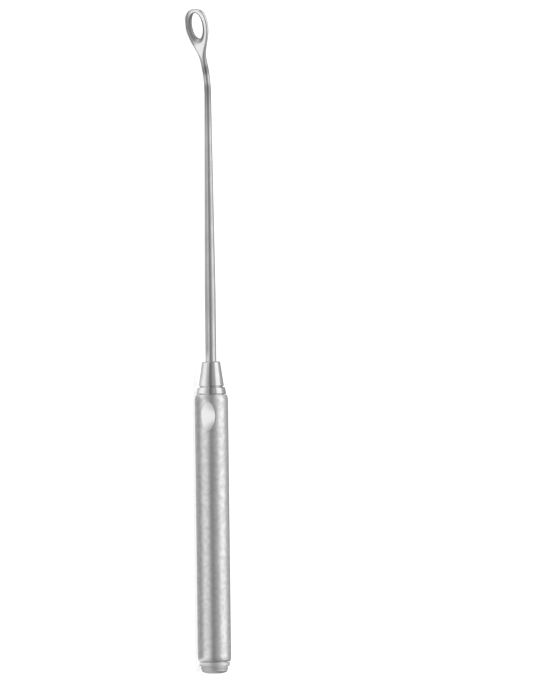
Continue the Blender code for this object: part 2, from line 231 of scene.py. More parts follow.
def latheTree():
    # spins a profile in the XY plane round the Y axis: X is the radius
    tree = bpy.data.node_groups.new("turnOnLathe", "GeometryNodeTree")
    ports = tree.interface
    ports.new_socket("Profile", in_out="INPUT", socket_type="NodeSocketGeometry")
    ports.new_socket("Sides", in_out="INPUT", socket_type="NodeSocketInt")
    ports.new_socket("Weld distance", in_out="INPUT", socket_type="NodeSocketFloat")
    ports.new_socket("Finish", in_out="INPUT", socket_type="NodeSocketMaterial")
    ports.new_socket("Piece", in_out="OUTPUT", socket_type="NodeSocketGeometry")

    def add(kind, **settings):
        node = tree.nodes.new(kind)
        for key, value in settings.items():
            setattr(node, key, value)
        return node

    start = add("NodeGroupInput")
    end = add("NodeGroupOutput")
    size = add("GeometryNodeAttributeDomainSize")
    columns = add("ShaderNodeMath", operation="ADD")
    columns.inputs[1].default_value = 1.0
    grid = add("GeometryNodeMeshGrid")
    grid.inputs["Size X"].default_value = 1.0
    grid.inputs["Size Y"].default_value = 1.0
    wire(tree, start, "Profile", size, 0)
    wire(tree, start, "Sides", columns, 0)
    wire(tree, size, "Point Count", grid, "Vertices X")
    wire(tree, columns, 0, grid, "Vertices Y")

    here = add("GeometryNodeInputPosition")
    apart = add("ShaderNodeSeparateXYZ")
    wire(tree, here, 0, apart, 0)
    lastPoint = add("ShaderNodeMath", operation="SUBTRACT")
    lastPoint.inputs[1].default_value = 1.0
    share = add("ShaderNodeMath", operation="ADD")
    share.inputs[1].default_value = 0.5
    along = add("ShaderNodeMath", operation="MULTIPLY")
    whole = add("ShaderNodeMath", operation="ROUND")
    wire(tree, size, "Point Count", lastPoint, 0)
    wire(tree, apart, "X", share, 0)
    wire(tree, share, 0, along, 0)
    wire(tree, lastPoint, 0, along, 1)
    wire(tree, along, 0, whole, 0)
    sample = add("GeometryNodeSampleIndex", data_type="FLOAT_VECTOR", domain="POINT")
    wire(tree, start, "Profile", sample, "Geometry")
    wire(tree, here, 0, sample, "Value")
    wire(tree, whole, 0, sample, "Index")

    turnShare = add("ShaderNodeMath", operation="ADD")
    turnShare.inputs[1].default_value = 0.5
    turn = add("ShaderNodeMath", operation="MULTIPLY")
    turn.inputs[1].default_value = 2.0 * pi
    spin = add("ShaderNodeVectorRotate", rotation_type="Y_AXIS")
    place = add("GeometryNodeSetPosition")
    wire(tree, apart, "Y", turnShare, 0)
    wire(tree, turnShare, 0, turn, 0)
    wire(tree, sample, "Value", spin, "Vector")
    wire(tree, turn, 0, spin, "Angle")
    wire(tree, grid, "Mesh", place, "Geometry")
    wire(tree, spin, 0, place, "Position")

    weld = add("GeometryNodeMergeByDistance")
    smooth = add("GeometryNodeSetShadeSmooth")
    real = add("GeometryNodeRealizeInstances")
    finish = add("GeometryNodeSetMaterial")
    wire(tree, place, 0, weld, "Geometry")
    wire(tree, start, "Weld distance", weld, "Distance")
    wire(tree, weld, 0, smooth, "Geometry")
    wire(tree, smooth, 0, real, "Geometry")
    wire(tree, real, 0, finish, "Geometry")
    wire(tree, start, "Finish", finish, "Material")
    wire(tree, finish, 0, end, "Piece")
    return tree


lathe = latheTree()


turning = {
    "roundSteps": 5,
    "besideRound": 1.5,  # the point that keeps a flat flat, in sizes of the round
    "roundAtMost": 0.45,  # share of the way to the next corner that a round may take
    "weldDistance": 0.0005,
    "smallestEdge": 0.0001,
    "sharpAngle": radians(40.0),
}


def onCurve(a, corner, b, share):
    # a point of the round that runs from a to b and leans on the corner between them
    one = [p + (q - p) * share for p, q in zip(a, corner)]
    two = [p + (q - p) * share for p, q in zip(corner, b)]
    return tuple(p + (q - p) * share for p, q in zip(one, two))


def towards(a, b, distance):
    length = sqrt(sum((q - p) ** 2 for p, q in zip(a, b)))
    share = min(distance / length, turning["roundAtMost"]) if length > 0.0 else 0.0
    return tuple(p + (q - p) * share for p, q in zip(a, b))


def rounded(corners):
    # corners are (y, radius, round); each round has a point beside it that keeps the flats flat
    points = []
    steps = turning["roundSteps"]
    for i, (y, radius, size) in enumerate(corners):
        corner = (y, radius)
        if size == 0.0:
            points.append(corner)
            continue
        before = corners[i - 1][:2]
        after = corners[i + 1][:2]
        a = towards(corner, before, size)
        b = towards(corner, after, size)
        beside = turning["besideRound"] * size
        points.append(towards(corner, before, beside))
        points += [onCurve(a, corner, b, k / steps) for k in range(steps + 1)]
        points.append(towards(corner, after, beside))
    return points


def arc(centreY, centreR, reachY, reachR, first, last, steps):
    turns = [first + (last - first) * i / steps for i in range(steps + 1)]
    return [(centreY + reachY * cos(t), centreR + reachR * sin(t), 0.0) for t in turns]


def shareBetween(value, none, full):
    return min(max((value - none) / (full - none), 0.0), 1.0)


def softerMin(a, b, softness):
    # the smaller of two heights, rounded off where they are nearly the same
    overlap = max(softness - abs(a - b), 0.0) / softness
    return min(a, b) - overlap**2 * softness / 4.0


def plain(piece):
    # the evaluated shape as a plain mesh, with no modifier left
    graph = bpy.context.evaluated_depsgraph_get()
    mesh = bpy.data.meshes.new_from_object(piece.evaluated_get(graph))
    piece.modifiers.clear()
    piece.data = mesh
    return mesh


def turnPiece(name, profile, startY, sides, finish):
    mesh = bpy.data.meshes.new(name)
    points = [(radius * mm, startY + y * mm, 0.0) for y, radius in profile]
    mesh.from_pydata(points, [(i, i + 1) for i in range(len(points) - 1)], [])
    piece = bpy.data.objects.new(name, mesh)
    bpy.context.scene.collection.objects.link(piece)
    modifier = piece.modifiers.new("turnOnLathe", "NODES")
    modifier.node_group = lathe
    values = {"Sides": sides, "Weld distance": turning["weldDistance"] * mm, "Finish": finish}
    for port in lathe.interface.items_tree:
        if port.in_out == "INPUT" and port.name in values:
            modifier[port.identifier] = values[port.name]
    mesh = plain(piece)
    shape = bmesh.new()
    shape.from_mesh(mesh)
    bmesh.ops.dissolve_degenerate(shape, dist=turning["smallestEdge"] * mm, edges=shape.edges)
    bmesh.ops.recalc_face_normals(shape, faces=shape.faces)
    shape.to_mesh(mesh)
    shape.free()
    mesh.shade_smooth()
    mesh.set_sharp_from_angle(angle=turning["sharpAngle"])
    return piece


def finishPiece(piece, node):
    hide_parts(node)
    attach(piece, "root")
    print(piece.name, "done,", len(piece.data.polygons), "faces")


tube = {
    "length": (tubeHigh.y - tubeLow.y) / mm,
    "wall": 1.0,
    "spigotClearance": 0.3,
    "spigotChamfer": 0.4,
    "chamferLength": 1.3,
    "chamferDepth": 0.38,
    "backRoundLength": 1.7,
    "backRoundDepth": 0.3,
    "backRoundStart": 0.5,  # the arc's angle where the chamfer meets it, in radians
    "backRoundSteps": 14,
    "backChamferDepth": 0.15,
    "edgeRound": 0.1,
    "shoulderRound": 0.3,
    "sides": 320,
}
oval = {
    "width": 4.6,
    "length": 8.9,
    "fromFront": 6.7,
    "fromBlade": radians(12.3),
    "rimSoftness": 0.06,
    "rimDepth": 0.08,  # how deep the wheel has to cut for its full smoothness and painted sheen
    "lineStep": 0.1,  # the rows of the tube lie this close along the oval
    "margin": 0.25,
}
boreRadius = tubeRadius - tube["wall"]
spigotRadius = boreRadius - tube["spigotClearance"]


def handleTubeProfile():
    length = tube["length"]
    backRadius = tubeRadius - tube["backRoundDepth"]
    corners = [(length, boreRadius, 0.0), (0.0, boreRadius, 0.0)]
    corners.append((0.0, backRadius - tube["backChamferDepth"], 0.0))
    reach = tube["backRoundLength"]
    start = tube["backRoundStart"]
    steps = tube["backRoundSteps"]
    corners += arc(reach, backRadius, -reach, tube["backRoundDepth"], start, pi / 2.0, steps)
    middle = length - oval["fromFront"]
    half = oval["length"] / 2.0 + oval["margin"]
    lines = ceil(2.0 * half / oval["lineStep"])
    corners += [(middle - half + 2.0 * half * i / lines, tubeRadius, 0.0) for i in range(lines + 1)]
    corners += [
        (length - tube["chamferLength"], tubeRadius, tube["shoulderRound"]),
        (length, tubeRadius - tube["chamferDepth"], tube["edgeRound"]),
        (length, boreRadius, 0.0),
    ]
    return rounded(corners)


def grindOval(piece, bladeTurn):
    # a wheel grinds across the tube and leaves the oval, whose rim is slightly softened
    turn = bladeTurn - oval["fromBlade"]
    depth = tubeRadius - sqrt(tubeRadius**2 - (oval["width"] / 2.0) ** 2)
    wheelRadius = ((oval["length"] / 2.0) ** 2 + depth**2) / (2.0 * depth)
    middle = tubeHigh.y / mm - oval["fromFront"]
    mask = piece.data.attributes.new("flatMask", "FLOAT", "POINT")
    for i, vertex in enumerate(piece.data.vertices):
        x, y, z = (c / mm for c in vertex.co)
        out = -x * sin(turn) + z * cos(turn)
        across = x * cos(turn) + z * sin(turn)
        if out < boreRadius or abs(y - middle) > oval["length"]:
            continue
        floor = tubeRadius - depth + wheelRadius - sqrt(wheelRadius**2 - (y - middle) ** 2)
        lowered = softerMin(out, floor, oval["rimSoftness"])
        mask.data[i].value = shareBetween(out - floor, 0.0, oval["rimDepth"])
        vertex.co.x = (across * cos(turn) - lowered * sin(turn)) * mm
        vertex.co.z = (across * sin(turn) + lowered * cos(turn)) * mm


cap = {
    "landRadius": 1.4,
    "landEdge": 0.1,
    "domeSlope": radians(24.0),
    "arcSteps": 12,
    "edgeRadius": 0.8,
    "rimBackRadius": 4.1,
    "rimLength": 0.65,
    "rimFlare": 0.3,
    "grooveLength": 0.6,
    "grooveDepth": 0.32,
    "grooveSlope": 0.24,
    "bandTaper": 0.12,
    "bandStep": 0.08,
    "bandChamfer": 0.2,
    "bandRound": 0.105,
    "seam": 0.22,
    "spigotLength": 5.0,
    "edgeRound": 0.07,
    "sides": 224,
}


def endCapProfile():
    slope = cap["domeSlope"]
    edge = cap["edgeRadius"]
    domeRadius = cap["rimBackRadius"] - edge * (1.0 - sin(slope))
    sweep = (domeRadius - cap["landRadius"]) / sin(slope)
    rimStart = sweep * (1.0 - cos(slope)) + edge * cos(slope)
    rimFrontRadius = cap["rimBackRadius"] + cap["rimFlare"]
    grooveStart = rimStart + cap["rimLength"]
    length = tubeLow.y / mm
    bandFrontRadius = tubeRadius - tube["backRoundDepth"] - cap["bandStep"]
    spigotEnd = length + cap["spigotLength"]
    edgeRound = cap["edgeRound"]
    steps = cap["arcSteps"]
    corners = [(0.0, 0.0, 0.0), (0.0, cap["landRadius"] - cap["landEdge"], 0.0)]
    corners += arc(sweep, cap["landRadius"], -sweep, sweep, 0.0, slope, steps)
    corners += arc(rimStart, cap["rimBackRadius"] - edge, -edge, edge, slope, pi / 2.0, steps)[1:]
    grooveEnd = grooveStart + cap["grooveLength"]
    grooveRadius = rimFrontRadius - cap["grooveDepth"]
    bandEnd = length - cap["seam"]
    corners += [
        (grooveStart, rimFrontRadius, edgeRound),
        (grooveStart + cap["grooveSlope"], grooveRadius, edgeRound),
        (grooveEnd - cap["grooveSlope"], grooveRadius, edgeRound),
        (grooveEnd, bandFrontRadius - cap["bandTaper"], cap["bandRound"]),
        (bandEnd - cap["bandChamfer"], bandFrontRadius, edgeRound),
        (bandEnd, bandFrontRadius - cap["bandChamfer"], 0.0),
        (bandEnd, spigotRadius, 0.0),
        (spigotEnd - tube["spigotChamfer"], spigotRadius, 0.0),
        (spigotEnd, spigotRadius - tube["spigotChamfer"], 0.0),
        (spigotEnd, 0.0, 0.0),
    ]
    return rounded(corners)


ferrule = {
    "collarStep": 0.17,
    "collarChamfer": 0.26,
    "seam": 0.12,
    "collarLength": 2.25,
    "collarTaper": 0.4,
    "grooveLength": 0.6,
    "grooveDepth": 0.42,
    "grooveSlope": 0.25,
    "coneBackRadius": 4.0,
    "coneFrontRadius": 2.95,
    "noseRound": 0.45,
    "noseSteps": 10,
    "boreRadius": 1.45,
    "spigotLength": 6.0,
    "edgeRound": 0.07,
    "grooveRound": 0.105,
    "sides": 224,
}


def frontFerruleProfile():
    length = (ferruleHigh.y - ferruleLow.y) / mm - ferrule["spigotLength"]
    bore = ferrule["boreRadius"]
    spigot = ferrule["spigotLength"]
    collarBack = tubeRadius - tube["chamferDepth"] - ferrule["collarStep"]
    collarLength = ferrule["collarLength"]
    grooveLength = ferrule["grooveLength"]
    edgeRound = ferrule["edgeRound"]
    nose = ferrule["noseRound"]
    frontRadius = ferrule["coneFrontRadius"]
    seam = ferrule["seam"]
    slope = ferrule["grooveSlope"]
    grooveRadius = ferrule["coneBackRadius"] - ferrule["grooveDepth"]
    corners = [
        (length, bore, 0.0),
        (-spigot, bore, 0.0),
        (-spigot, spigotRadius - tube["spigotChamfer"], 0.0),
        (tube["spigotChamfer"] - spigot, spigotRadius, 0.0),
        (seam, spigotRadius, 0.0),
        (seam, collarBack - ferrule["collarChamfer"], 0.0),
        (seam + ferrule["collarChamfer"], collarBack, edgeRound),
        (collarLength, collarBack - ferrule["collarTaper"], ferrule["grooveRound"]),
        (collarLength + slope, grooveRadius, edgeRound),
        (collarLength + grooveLength - slope, grooveRadius, edgeRound),
        (collarLength + grooveLength, ferrule["coneBackRadius"], ferrule["grooveRound"]),
    ]
    steps = ferrule["noseSteps"]
    corners += arc(length - nose, frontRadius - nose, nose, nose, pi / 2.0, 0.0, steps)
    corners.append((length, bore, 0.0))
    return rounded(corners)


# the blade: ring, web, neck, shaft and tang in one piece

blade = {
    "shaftRadius": 1.72,
    "straightLength": 22.5,
    "taperLength": 61.5,
    "neckRadius": 1.06,
    "neckLean": radians(28.0),
    "ringLean": radians(16.5),
    "neckBend": 11.0,
    "neckLength": 6.3,
    "ringBend": 3.0,
    "bendFromMiddle": 3.0,
    "ringHalfWidth": 3.785,
    "ringHalfLength": 5.745,
    "ringHalfDepth": 1.075,
    "bluntness": 2.7,
    "squareness": 2.8,
    "blendLength": 11.9,
    "faceHeight": 0.65,
    "faceStraight": 5.2,
    "webLength": 6.4,
    "edgeSoftness": 0.18,
    "flatDepth": 0.05,  # how deep the front has to be ground for its full smoothness and painted sheen
    "ringPaintedSheen": 1.4,  # painted sheen: the colour is this much brighter on the ring
    "ringPaintedSheenStart": -11.5,  # places along the blade, from the ring's middle
    "ringPaintedSheenFull": -8.5,
    "neckPaintedShade": 0.62,  # painted shade: and this much darker on the bent neck
    "neckPaintedShades": (
        (-12.4, -13.8, -15.6, -16.8),  # from none to full, and from full back to none
        (-18.6, -20.4, -25.5, -30.5),
    ),
    "tangRadius": 1.15,
    "tangLength": 19.5,
    "tangChamfer": 0.4,
}
hole = {
    "halfWidth": 1.95,
    "tipReach": 4.45,
    "webReach": 4.05,
    "edgeDepth": 0.45,
    "bevelSide": 0.75,
    "bevelTip": 0.45,
    "bevelWeb": 1.2,
    "backFlare": 0.25,
    "rimRound": 0.07,
    "edgeRound": 0.1,
    # the hole's wall keeps a darker colour than the ring, a painted shade in the hole
    "wallPaintedShade": 0.95,
}
bladeGrid = {
    "outlineSteps": 176,  # steps round the ring's outline
    "acrossSteps": 48,  # steps over the front of the neck, and as many over its back
    "cutLine": -6.2,  # where the ring's grid meets the neck's, from the ring's middle
    "bandSteps": 22,
    "sectionStep": 0.16,
    "neckStep": 0.3,
    "shaftSteps": 12,
    "shoulderStep": 0.02,  # the last section of the shaft lies this close to its flat end
    "outlineDetail": 600,
    "roundSteps": 5,
    "flareRounds": 4,  # the flare and the height of the back fit each other after a few rounds
    "turnRounds": 30,
    "touching": 0.001,
    "weldDistance": 0.0003,
}
route = (
    (blade["straightLength"] + blade["taperLength"], 0.0),
    (blade["neckBend"], blade["neckLean"]),
    (blade["neckLength"], 0.0),
    (blade["ringBend"], blade["ringLean"] - blade["neckLean"]),
    (blade["bendFromMiddle"], 0.0),
)
shaftLength = route[0][0]
ringDistance = sum(length for length, turn in route)


def centreline(distance):
    # where the blade's centre is, and how far it leans, at this distance from the shoulder
    y = 0.0
    z = 0.0
    lean = 0.0
    for length, turn in route:
        step = min(distance, length)
        if turn:
            turned = turn * step / length
            radius = length / turn
            y += radius * (sin(lean + turned) - sin(lean))
            z += radius * (cos(lean) - cos(lean + turned))
            lean += turned
        else:
            y += step * cos(lean)
            z += step * sin(lean)
        distance -= step
    return y + distance * cos(lean), z + distance * sin(lean), lean


def superEllipse(size, reach, power):
    return size * (1.0 - min(reach, 1.0) ** power) ** (1.0 / power)


def bladeSection(s):
    # half width, half depth and squareness at s, measured from the ring's middle
    if s > 0.0:
        reach = s / blade["ringHalfLength"]
        width = superEllipse(blade["ringHalfWidth"], reach, blade["bluntness"])
        depth = superEllipse(blade["ringHalfDepth"], reach, blade["squareness"])
        return width, depth, blade["squareness"]
    neck = blade["neckRadius"]
    if s > -blade["blendLength"]:
        share = (1.0 + cos(pi * s / blade["blendLength"])) / 2.0
        return (
            neck + (blade["ringHalfWidth"] - neck) * share,
            neck + (blade["ringHalfDepth"] - neck) * share,
            2.0 + (blade["squareness"] - 2.0) * share,
        )
    tapered = max(ringDistance + s - blade["straightLength"], 0.0) / blade["taperLength"]
    radius = blade["shaftRadius"] + (neck - blade["shaftRadius"]) * min(tapered, 1.0)
    return radius, radius, 2.0


def faceHeight(s):
    # the ground face is level over the ring and rises out of the neck below the web
    below = -blade["faceStraight"] - s
    if below <= 0.0:
        return blade["faceHeight"]
    left = max(1.0 - below / blade["webLength"], 0.0)
    runOut = max(below - blade["webLength"], 0.0)
    return blade["neckRadius"] + runOut - (blade["neckRadius"] - blade["faceHeight"]) * left**2


def backHeight(a, s):
    width, depth, squareness = bladeSection(s)
    reach = abs(a) / width if width > 0.0 else 0.0
    return -superEllipse(depth, reach, squareness)


def frontHeight(a, s):
    return softerMin(-backHeight(a, s), faceHeight(s), blade["edgeSoftness"])


# the tone paints a brighter reflection on the ring and a darker shade on the bent neck
def paintedSheenAndShade(s):
    onRing = shareBetween(s, blade["ringPaintedSheenStart"], blade["ringPaintedSheenFull"])
    tone = 1.0 + (blade["ringPaintedSheen"] - 1.0) * onRing
    for none, full, stillFull, end in blade["neckPaintedShades"]:
        onBend = shareBetween(s, none, full) * shareBetween(s, end, stillFull)
        tone -= (1.0 - blade["neckPaintedShade"]) * onBend
    return tone


def placed(point, tone=None):
    # from across, along and up on the blade to x, y, z, how surely it is on the flat, and its tone of
    # painted sheen and painted shade
    a, s, u = point
    y, z, lean = centreline(ringDistance + s)
    onFlat = 0.0
    if u > frontHeight(a, s) - bladeGrid["touching"]:
        onFlat = shareBetween(-backHeight(a, s) - faceHeight(s), 0.0, blade["flatDepth"])
    if tone is None:
        tone = paintedSheenAndShade(s)
    return (a, y - u * sin(lean), z + u * cos(lean), onFlat, tone)


def evenly(points, steps):
    # as many points as asked, equally far apart along the line through the given ones
    lengths = [0.0]
    for p, q in zip(points, points[1:]):
        lengths.append(lengths[-1] + sqrt((q[0] - p[0]) ** 2 + (q[1] - p[1]) ** 2))
    made = []
    at = 0
    for i in range(steps + 1):
        wanted = lengths[-1] * i / steps
        while at < len(points) - 2 and lengths[at + 1] < wanted:
            at += 1
        share = (wanted - lengths[at]) / (lengths[at + 1] - lengths[at])
        made.append(tuple(p + (q - p) * share for p, q in zip(points[at], points[at + 1])))
    return made


def ringOutline():
    # from the cut line's right end round the tip to its left end
    cut = bladeGrid["cutLine"]
    fine = bladeGrid["outlineDetail"]
    power = 2.0 / blade["bluntness"]
    side = [cut * (1.0 - i / fine) for i in range(fine)]
    right = [(bladeSection(s)[0], s) for s in side]
    turns = [pi * i / (2 * fine) for i in range(2 * fine + 1)]
    tip = [
        (
            blade["ringHalfWidth"] * copysign(abs(cos(t)) ** power, cos(t)),
            blade["ringHalfLength"] * abs(sin(t)) ** power,
        )
        for t in turns
    ]
    left = [(-a, s) for a, s in reversed(right)]
    return evenly(right + tip + left, bladeGrid["outlineSteps"])


def acrossPoints(s):
    # from the left edge to the right one, closer together towards the edges
    width, depth, squareness = bladeSection(s)
    count = bladeGrid["acrossSteps"]
    turns = [pi * i / count for i in range(count + 1)]
    power = 2.0 / squareness
    return [width * copysign(abs(cos(t)) ** power, -cos(t)) for t in turns]


def holePoint(turn, side, tip, web):
    # a point of an oval that reaches this far to the sides, to the tip and to the web
    middle = (tip - web) / 2.0
    return (side * cos(turn), middle + (tip + web) / 2.0 * sin(turn))


def ringChain(a, s):
    # one closed slice of the ring: over the front, down the hole's wall and back over the back
    rimSize = (
        hole["halfWidth"] + hole["bevelSide"],
        hole["tipReach"] + hole["bevelTip"],
        hole["webReach"] + hole["bevelWeb"],
    )
    middle = (rimSize[1] - rimSize[2]) / 2.0
    turn = atan2((s - middle) / ((rimSize[1] + rimSize[2]) / 2.0), a / rimSize[0])
    rim = holePoint(turn, *rimSize)
    edgeSize = (hole["halfWidth"], hole["tipReach"], hole["webReach"])
    edge = holePoint(turn, *edgeSize)
    edgeHeight = blade["faceHeight"] - hole["edgeDepth"]
    flare = 0.0
    back = edge
    for i in range(bladeGrid["flareRounds"]):
        back = holePoint(turn, *(size + flare for size in edgeSize))
        flare = hole["backFlare"] * (edgeHeight - backHeight(*back)) / (2.0 * blade["ringHalfDepth"])
    corners = [
        rim + (frontHeight(*rim),),
        edge + (edgeHeight,),
        back + (backHeight(*back),),
    ]
    steps = bladeGrid["bandSteps"]
    shares = [1.0 - cos(pi / 2.0 * i / steps) for i in range(steps + 1)]

    def surface(inner, height, share):
        flat = tuple(p + (q - p) * share for p, q in zip((a, s), inner))
        return flat + (height(*flat),)

    reach = sqrt((a - rim[0]) ** 2 + (s - rim[1]) ** 2)
    stop = 1.0 - hole["rimRound"] / reach
    front = [surface(rim, frontHeight, share * stop) for share in shares]
    reach = sqrt((a - back[0]) ** 2 + (s - back[1]) ** 2)
    stop = 1.0 - hole["rimRound"] / reach
    behind = [surface(back, backHeight, share * stop) for share in reversed(shares)]
    wall = []
    before = front[-1]
    sizes = (hole["rimRound"], hole["edgeRound"], hole["rimRound"])
    roundSteps = bladeGrid["roundSteps"]
    for i, (corner, size) in enumerate(zip(corners, sizes)):
        after = towards(corner, corners[i + 1], size) if i < 2 else behind[0]
        first = before if i == 0 else towards(corner, corners[i - 1], size)
        if i > 0:
            wall.append(tuple((p + q) / 2.0 for p, q in zip(before, first)))
        begin = 1 if i == 0 else 0
        wall += [onCurve(first, corner, after, k / roundSteps) for k in range(begin, roundSteps + 1)]
        before = after
    if s > bladeGrid["cutLine"]:
        front[0] = behind[-1] = (a, s, 0.0)  # front and back meet in one edge round the ring
    chain = [placed(point) for point in front]
    # the hole's wall takes the darker painted shade instead of the ring's painted sheen
    chain += [placed(point, hole["wallPaintedShade"]) for point in wall]
    return chain + [placed(point) for point in behind[1:]]


def restingTurn(points):
    # how far the blade rolls to the left before its lowest point meets the floor
    clear = 0.0
    reaches = pi
    for i in range(bladeGrid["turnRounds"]):
        turn = (clear + reaches) / 2.0
        if min(x * sin(turn) + z * cos(turn) for x, y, z in points) > floorHeight / mm:
            clear = turn
        else:
            reaches = turn
    return clear


def neckStations():
    # sections from the cut line down to the shoulder, closer where the shape changes
    cut = bladeGrid["cutLine"]
    blendEnd = -blade["blendLength"]
    shaftEnd = shaftLength - ringDistance
    stops = []
    for first, last, step in (
        (cut, blendEnd, bladeGrid["sectionStep"]),
        (blendEnd, shaftEnd, bladeGrid["neckStep"]),
    ):
        count = ceil((first - last) / step)
        stops += [first + (last - first) * i / count for i in range(count)]
    count = bladeGrid["shaftSteps"]
    stops += [shaftEnd - blade["taperLength"] * i / count for i in range(count + 1)]
    stops.append(bladeGrid["shoulderStep"] - ringDistance)
    stops.append(-ringDistance)
    return stops


def neckLoop(s):
    # one section of web, neck or shaft, over its front and back under its back
    across = acrossPoints(s)
    top = [(a, s, frontHeight(a, s)) for a in across]
    under = [(a, s, backHeight(a, s)) for a in across[-2:0:-1]]
    return [placed(point) for point in top + under]


def tangLoop(y, radius):
    count = bladeGrid["acrossSteps"]
    turns = [pi * (1.0 - i / count) for i in range(2 * count)]
    return [(radius * cos(t), y, radius * sin(t), 0.0, 1.0) for t in turns]


def skin(shape, loops, closedAcross, closedAlong):
    # points carry the values of the two layers after their x, y and z
    masks = [shape.verts.layers.float[name] for name in ("flatMask", "paintedSheenAndShade")]
    layers = []
    for loop in loops:
        layers.append([shape.verts.new(point[:3]) for point in loop])
        for vertex, point in zip(layers[-1], loop):
            for mask, value in zip(masks, point[3:]):
                vertex[mask] = value
    if closedAlong:
        layers.append(layers[0])
    for low, high in zip(layers, layers[1:]):
        count = len(low)
        for i in range(count if closedAcross else count - 1):
            j = (i + 1) % count
            shape.faces.new((low[i], low[j], high[j], high[i]))
    return layers


def makeBlade():
    shape = bmesh.new()
    for mask in ("flatMask", "paintedSheenAndShade"):
        shape.verts.layers.float.new(mask)
    cut = bladeGrid["cutLine"]
    outer = ringOutline() + [(a, cut) for a in acrossPoints(cut)[1:-1]]
    chains = [ringChain(a, s) for a, s in outer]
    skin(shape, chains, False, True)
    loops = [neckLoop(s) for s in neckStations()]
    tangRadius = blade["tangRadius"]
    tangLength = blade["tangLength"]
    chamfer = blade["tangChamfer"]
    loops.append(tangLoop(0.0, tangRadius))
    loops.append(tangLoop(chamfer - tangLength, tangRadius))
    loops.append(tangLoop(-tangLength, tangRadius - chamfer))
    layers = skin(shape, loops, True, False)
    shape.faces.new(layers[-1])
    turn = restingTurn([tuple(v.co) for v in shape.verts])
    bmesh.ops.remove_doubles(shape, verts=shape.verts, dist=bladeGrid["weldDistance"])
    bmesh.ops.recalc_face_normals(shape, faces=shape.faces)
    lay = Matrix.Translation((0.0, ferruleHigh.y, 0.0)) @ Matrix.Rotation(-turn, 4, "Y")
    bmesh.ops.transform(shape, matrix=lay @ Matrix.Scale(mm, 4), verts=shape.verts)
    mesh = bpy.data.meshes.new("ringCurette")
    shape.to_mesh(mesh)
    shape.free()
    mesh.shade_smooth()
    mesh.set_sharp_from_angle(angle=turning["sharpAngle"])
    mesh.materials.append(ground)
    piece = bpy.data.objects.new("ringCurette", mesh)
    bpy.context.scene.collection.objects.link(piece)
    return piece, turn


ringCurette, bladeTurn = makeBlade()
finishPiece(ringCurette, "ring_curette")

handleTube = turnPiece("handleTube", handleTubeProfile(), tubeLow.y, tube["sides"], satin)
grindOval(handleTube, bladeTurn)
finishPiece(handleTube, "handle_tube")

endCap = turnPiece("endCap", endCapProfile(), 0.0, cap["sides"], capSteel)
finishPiece(endCap, "end_cap")

frontFerrule = turnPiece("frontFerrule", frontFerruleProfile(), tubeHigh.y, ferrule["sides"], polished)
finishPiece(frontFerrule, "front_ferrule")
print("blade turned", round(degrees(bladeTurn), 2), "degrees to the left")


# floor, light and camera

studio = {
    "floorSize": 12.0,
    "floorColour": (0.9, 0.9, 0.9),
    "floorRoughness": 0.9,
    "floorGlow": 0.65,  # lifts the floor to the white of the background
    "mirroredShade": 0.4,  # the metal mirrors a darker floor, a painted shade, with glowing strips along both its sides, painted reflections
    "stripReach": 100.0,
    # each strip set: distance from the instrument's middle and brightness; the strips glow only in the
    # metal as painted reflections, and their dark parts next to it are painted shadow
    "handleStrips": (
        (0.0, 0.6), (2.0, 0.46), (4.4, 0.22), (8.0, 0.74),
        (11.0, 0.72), (20.0, 0.55), (40.0, 0.3), (60.0, 0.0),
    ),
    "ovalStrips": (
        (0.0, 0.6), (2.0, 0.46), (4.4, 0.22), (8.0, 0.74),
        (11.0, 0.74), (20.0, 0.7), (48.0, 0.7), (75.0, 0.0),
    ),
    "ferruleStrips": (
        (0.0, 0.6), (2.0, 0.6), (3.4, 1.0), (6.5, 1.0),
        (9.0, 0.66), (13.0, 0.44), (24.0, 0.14), (60.0, 0.0),
    ),
    "capStrips": ((0.0, 0.9), (3.0, 1.0), (100.0, 1.0)),
    "endStrips": ((0.0, 0.3), (3.0, 0.34), (20.0, 0.3), (45.0, 0.1), (75.0, 0.0)),
    # the ring's strips are dark next to the ring, a painted shadow in its reflection
    "ringStrips": ((0.0, 0.12), (9.5, 0.12), (12.5, 0.8), (20.0, 0.7), (45.0, 0.58), (75.0, 0.0)),
    "stripFade": 1.2,  # over how much length one set of strips gives way to the next
    "bandFade": 0.48,
    "bandReach": 1.44,  # how far behind the tube's end the strips of the cap's band start
    "ringReach": 15.2,  # how far from the tip the ring's own strips start
    "softboxHeight": 0.8,
    "softboxTowardsFront": 0.16,
    "softboxWidth": 0.8,
    "softboxLength": 1.3,
    "softboxAhead": 0.35,
    "softboxPower": 2.3,
    "skyByHeight": ((0.0, 0.16), (0.2, 0.21), (0.5, 0.43), (1.0, 0.6)),
    "skyOnFarSide": ((0.5, 0.0), (0.97, 0.34), (1.0, 0.36)),
    "skyAlongHandle": ((0.8, 0.0), (0.96, 0.42)),
    "endCapSide": -0.55,
    "skyAtEndCap": 0.6,
    "skyElsewhere": 1.0,
}


def greyRamp(tree, stops):
    ramp = tree.nodes.new("ShaderNodeValToRGB")
    elements = ramp.color_ramp.elements
    elements.remove(elements[1])
    for i, (place, grey) in enumerate(stops):
        element = elements[0] if i == 0 else elements.new(place)
        element.position = place
        element.color = (grey, grey, grey, 1.0)
    return ramp


def stripRamp(tree, aside, name):
    ramp = greyRamp(tree, [(x / studio["stripReach"], grey) for x, grey in studio[name]])
    wire(tree, aside, 0, ramp, 0)
    return ramp


